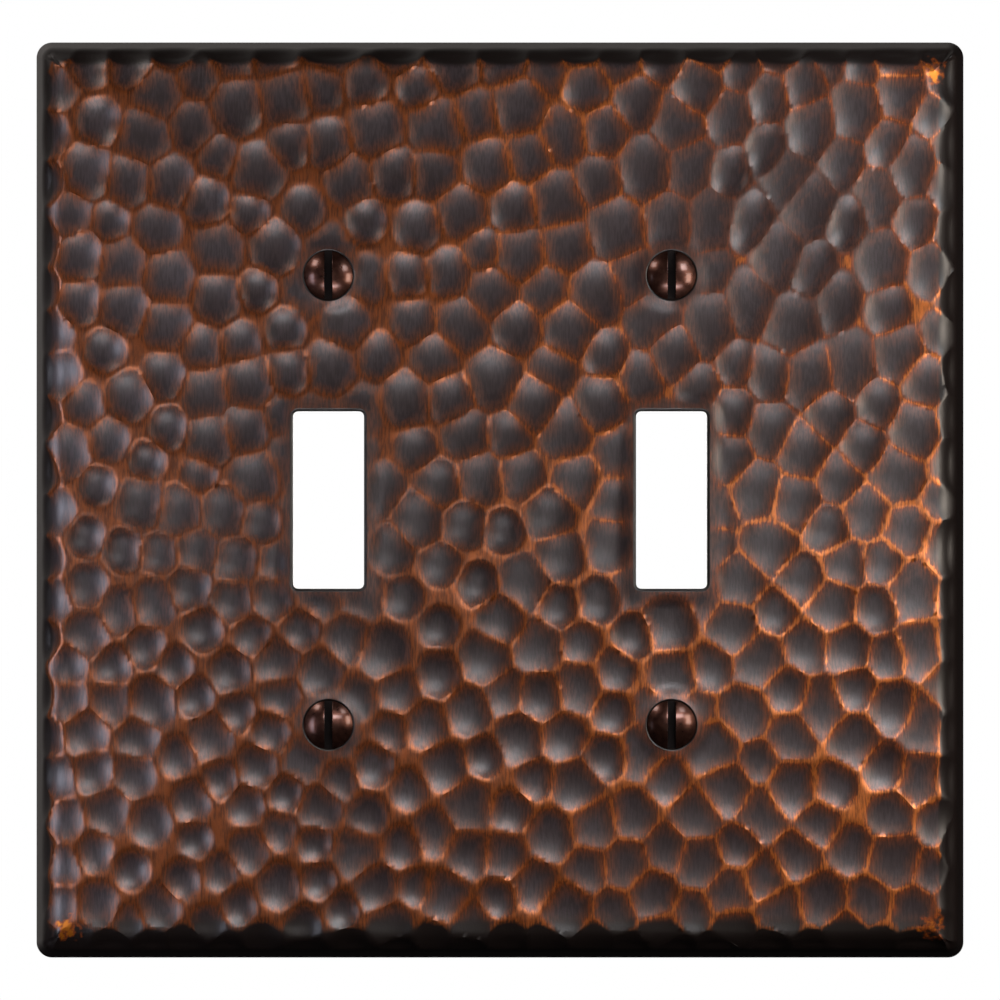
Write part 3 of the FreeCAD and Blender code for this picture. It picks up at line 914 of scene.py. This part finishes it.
def patinated_copper(finish):
    """Hammered copper sheet, darkened with a sulphide patina and relieved with fine abrasive.

    The oxide stays dark and half glossy on the floors of the dents, where the abrasive can't reach.
    The lands and ridges are rubbed back through brown to bright copper, with a painted highlight along
    the sharpest ridges on the right, and the strokes of the abrasive run up and down. The walls stay
    black with patina, with painted shade laid over it towards the bottom and right and round the edges
    of the holes, and three corners are worn bright.
    The strokes and the grain are drawn coarser than real ones, so that they show.
    """
    material, tree, place, strokes, blotches, grain, specks = new_material(
        "patinated_hammered_copper",
        ((0.24 * MM, 7, 3), (9 * MM, 1, 3), (0.28 * MM, 1, 3), (0.9 * MM, 1, 2)))
    across = add_node(tree, "SeparateXYZ", {0: place})
    up = across.node.outputs["Z"]
    edge, black_patina_and_shade, inside = (add_node(tree, "Attribute", {}, "Fac", attribute_name=name)
                              for name in ("edge_distance", "black_patina_and_shade", "inside"))

    # Distance from a ridge or land in millimetres, made uneven by how hard a place was rubbed.
    # The number added last keeps its middle where it was.
    rubbing = add_node(tree, "Math", {0: blotches, 1: 1.2, 2: strokes}, operation="MULTIPLY_ADD")
    far = add_node(tree, "Math", {0: rubbing, 1: -0.9, 2: edge}, operation="MULTIPLY_ADD")
    far = add_node(tree, "Math", {0: far, 1: 0.99}, operation="ADD")

    # Distance from the nearest corner of the face, made ragged by the specks
    folded = add_node(tree, "VectorMath", {0: place}, operation="ABSOLUTE")
    corner = add_node(tree, "VectorMath", {0: folded, 1: WORN_CORNER}, "Value",
                      operation="DISTANCE")
    corner = add_node(tree, "Math", {0: specks, 1: 5 * MM, 2: corner}, operation="MULTIPLY_ADD")
    right_or_low = add_node(tree, "Math", {0: across, 1: up}, operation="SUBTRACT")

    # Each ramp rises smoothly from 0 to its height, between two values of what it follows
    brown, bare, rubbed, ridge, crowded, worn, not_upper_left, blotched, streak = (
        add_node(tree, "MapRange", {0: value, 1: low, 2: high, 4: height},
                 interpolation_type="SMOOTHSTEP")
        for value, low, high, height in (
            (far, 2.2, 0.3, 1), (far, 0.95, -0.25, 1), (far, 0.95, -0.25, 0.9),
            (far, 0.40, 0.0, 0.65), (across, -30 * MM, 52 * MM, 1),
            (corner, 4.4 * MM, 2.8 * MM, 1), (right_or_low, -80 * MM, -30 * MM, 1),
            (blotches, 0.35, 0.65, 1), (strokes, 0.62, 0.36, 0.55)))
    # Painted highlight: the glint colour laid along the ridges on the right, where the light from the
    # right catches them.
    bright = add_node(tree, "Math", {0: ridge, 1: crowded}, operation="MULTIPLY")
    worn = add_node(tree, "Math", {0: worn, 1: not_upper_left}, operation="MULTIPLY")
    # Black patina with painted shade over it, darker towards the bottom and right and round the holes'
    # edges, less where the copper is rubbed bare.
    left = add_node(tree, "Math", {0: bare, 1: -0.35, 2: black_patina_and_shade}, operation="MULTIPLY_ADD")
    black, worn_most = (
        add_node(tree, "MapRange", {0: value, 1: low, 2: high}, interpolation_type="SMOOTHSTEP")
        for value, low, high in ((left, 0.05, 0.55), (worn, 0.4, 1.0)))

    skin, copper, raw, tarnish = (
        add_node(tree, "Mix", {0: part, 6: linear(first), 7: linear(second)}, 2,
                 data_type="RGBA")
        for part, first, second in (
            (blotched, finish.oxide, finish.ash), (crowded, finish.copper, finish.red_copper),
            (worn_most, finish.worn, finish.worn_bright),
            (blotched, finish.back, finish.back_light)))
    for part, layer in ((brown, linear(finish.umber)), (rubbed, copper),
                        (bright, linear(finish.glint)), (streak, linear(finish.soot)),
                        (black, linear(finish.black)), (worn, raw), (inside, tarnish)):
        skin = add_node(tree, "Mix", {0: part, 6: skin, 7: layer}, 2, data_type="RGBA")

    metal, rough = (
        add_node(tree, "MapRange", {0: bare, 1: 0, 2: 1, 3: low, 4: high},
                 interpolation_type="SMOOTHSTEP")
        for low, high in ((0.15, 0.65), (0.32, 0.30)))
    clean = add_node(tree, "Math", {0: 1, 1: black}, operation="SUBTRACT")
    metal = add_node(tree, "Math", {0: metal, 1: clean}, operation="MULTIPLY")
    raw_metal = add_node(tree, "Math", {0: worn, 1: 0.8}, operation="MULTIPLY")
    metal = add_node(tree, "Math", {0: metal, 1: raw_metal}, operation="MAXIMUM")
    rough = add_node(tree, "Math", {0: grain, 1: 0.12, 2: rough}, operation="MULTIPLY_ADD")
    relief = add_node(tree, "Math", {0: strokes, 1: grain}, operation="ADD")
    bump = add_node(tree, "Bump", {"Height": relief, "Distance": 0.014 * MM, "Strength": 0.9})
    shader = add_node(tree, "BsdfPrincipled",
                      {"Base Color": skin, "Metallic": metal, "Roughness": rough, "Normal": bump,
                       "Coat Weight": 0.38, "Coat Roughness": 0.36})
    add_node(tree, "OutputMaterial", {"Surface": shader})
    return material


def bronzed_steel(finish):
    """Steel screw with a dark bronze plating under a clear lacquer, tumbled smooth.

    The plating is thin and even, so the dome is glossy, with the faintest mottling.
    """
    material, tree, _, mottle, grain = new_material("bronzed_screw_steel",
                                                    ((0.8 * MM, 1, 3), (0.12 * MM, 1, 2)))
    part = add_node(tree, "MapRange", {0: mottle, 1: 0.35, 2: 0.7},
                    interpolation_type="SMOOTHSTEP")
    skin = add_node(tree, "Mix", {0: part, 6: linear(finish.bronze),
                                  7: linear(finish.bronze_light)}, 2, data_type="RGBA")
    rough = add_node(tree, "Math", {0: mottle, 1: 0.10, 2: 0.24}, operation="MULTIPLY_ADD")
    bump = add_node(tree, "Bump", {"Height": grain, "Distance": 0.004 * MM, "Strength": 0.5})
    shader = add_node(tree, "BsdfPrincipled",
                      {"Base Color": skin, "Metallic": 0.9, "Roughness": rough, "Normal": bump,
                       "Coat Weight": 0.4, "Coat Roughness": 0.12})
    add_node(tree, "OutputMaterial", {"Surface": shader})
    return material


def slot_painted_shade():
    """Steel in the driver slot, painted near black with a faint mottle, as painted shade in the deep,
    narrow slot.
    """
    material, tree, _, slot_shade_mottle = new_material("shaded_slot_steel", ((0.25 * MM, 1, 3),))
    skin = add_node(tree, "Mix", {0: slot_shade_mottle, 6: linear("#060505"), 7: linear("#1c1413")}, 2,
                    data_type="RGBA")
    shader = add_node(tree, "BsdfPrincipled", {"Base Color": skin, "Metallic": 0.2,
                                               "Roughness": 0.8, "Specular IOR Level": 0.2})
    add_node(tree, "OutputMaterial", {"Surface": shader})
    return material


def floor_paint():
    """Matt pale emulsion paint, rolled on, with the faint mottle of the roller."""
    material, tree, _, mottle = new_material("floor_paint", ((30 * MM, 1, 3),))
    skin = add_node(tree, "Mix", {0: mottle, 6: linear("#dedcd8"), 7: linear("#e6e4e1")}, 2,
                    data_type="RGBA")
    shader = add_node(tree, "BsdfPrincipled", {"Base Color": skin, "Roughness": 0.9})
    add_node(tree, "OutputMaterial", {"Surface": shader})
    return material


# ---------------------------------------------------------------------------------------
# Studio
# ---------------------------------------------------------------------------------------


def soft_light(name, place, target, size, power, tint, spread):
    """An area light that faces a target, throws a beam of a given spread and isn't seen itself."""
    data = bpy.data.lights.new(name, "AREA")
    data.shape = "RECTANGLE"
    data.size, data.size_y = size
    data.energy = power
    data.color = linear(tint)[:3]
    data.spread = math.radians(spread)
    light = bpy.data.objects.new(name, data)
    light.location = place
    light.rotation_euler = (Vector(target) - Vector(place)).to_track_quat("-Z", "Y").to_euler()
    light.visible_camera = False
    bpy.context.scene.collection.objects.link(light)
    return light


def studio_world():
    """White to the eye and dim to the metal, a little lighter from above, behind and the left."""
    world = bpy.data.worlds.new("studio")
    world.use_nodes = True
    tree = world.node_tree
    tree.nodes.clear()
    direction = add_node(tree, "TexCoord", {}, "Generated")
    lit = add_node(tree, "VectorMath", {0: direction, 1: (-0.6, 0.55, 0.6)}, "Value",
                   operation="DOT_PRODUCT")
    lit = add_node(tree, "MapRange", {0: lit, 1: 0.45, 2: 1.0}, interpolation_type="SMOOTHSTEP")
    dim = add_node(tree, "Mix", {0: lit, 6: linear("#161414"), 7: linear("#a09a96")}, 2,
                   data_type="RGBA")
    surround = add_node(tree, "Background", {"Color": dim, "Strength": 1.0})
    backdrop = add_node(tree, "Background", {"Color": linear("#ffffff"), "Strength": 1.0})
    seen = add_node(tree, "LightPath", {}, "Is Camera Ray")
    joined = add_node(tree, "MixShader", {0: seen, 1: surround, 2: backdrop})
    add_node(tree, "OutputWorld", {"Surface": joined})
    bpy.context.scene.world = world


class WALLPLATE_OT_studio(bpy.types.Operator):
    """Makes the floor, the lights, the surroundings and the camera"""

    bl_idname = "wallplate.studio"
    bl_label = "Studio"

    def execute(self, context):
        studio = context.scene.wall_plate_studio
        mesh = bmesh.new()
        bmesh.ops.create_circle(mesh, cap_ends=True, segments=96, radius=studio.floor_radius)
        bmesh.ops.translate(mesh, verts=mesh.verts, vec=(0, 0, -studio.floor_drop))
        floor = finished(mesh, "floor", sharp_angle=math.radians(30))
        floor.data.materials.append(floor_paint())
        floor.visible_glossy = False
        floor.visible_diffuse = False

        lights = {row[0]: soft_light(*row) for row in LIGHTS}
        floor_only = bpy.data.collections.new("floor_only")
        floor_only.objects.link(floor)
        lights["floor_panel"].light_linking.receiver_collection = floor_only
        studio_world()

        data = bpy.data.cameras.new("camera")
        data.lens = studio.lens
        camera = bpy.data.objects.new("camera", data)
        away = studio.field / 2 / (data.sensor_width / 2 / data.lens)
        camera.location = (0, -away, 0)
        camera.rotation_euler = (math.pi / 2, 0, 0)
        data.clip_start, data.clip_end = 0.01, 100.0
        context.scene.collection.objects.link(camera)
        context.scene.camera = camera
        context.scene.view_settings.view_transform = "Standard"
        return {"FINISHED"}


# ---------------------------------------------------------------------------------------
# Panel and start
# ---------------------------------------------------------------------------------------


class WALLPLATE_PT_panel(bpy.types.Panel):
    """Lists the steps in the 3D view's sidebar"""

    bl_idname = "WALLPLATE_PT_panel"
    bl_label = "Wall Plate"
    bl_space_type = "VIEW_3D"
    bl_region_type = "UI"
    bl_category = "Wall Plate"

    def draw(self, context):
        for group in SETTINGS:
            settings = getattr(context.scene, group)
            box = self.layout.box()
            for name in settings.__annotations__:
                box.prop(settings, name)
        for step in STEPS:
            self.layout.operator(step.bl_idname)


SETTINGS = {
    "wall_plate_sizes": PlateSettings,
    "wall_plate_hammer": HammerSettings,
    "wall_plate_screws": ScrewSettings,
    "wall_plate_finish": FinishSettings,
    "wall_plate_studio": StudioSettings,
}
STEPS = (WALLPLATE_OT_plate, WALLPLATE_OT_screws, WALLPLATE_OT_studio)


def register():
    for group, settings in SETTINGS.items():
        bpy.utils.register_class(settings)
        setattr(bpy.types.Scene, group, bpy.props.PointerProperty(type=settings))
    for kind in STEPS + (WALLPLATE_PT_panel,):
        bpy.utils.register_class(kind)


def unregister():
    for kind in (WALLPLATE_PT_panel,) + STEPS:
        bpy.utils.unregister_class(kind)
    for group, settings in SETTINGS.items():
        delattr(bpy.types.Scene, group)
        bpy.utils.unregister_class(settings)


def main():
    register()
    bpy.ops.wallplate.plate()
    bpy.ops.wallplate.screws()
    bpy.ops.wallplate.studio()


if __name__ == "__main__":
    main()
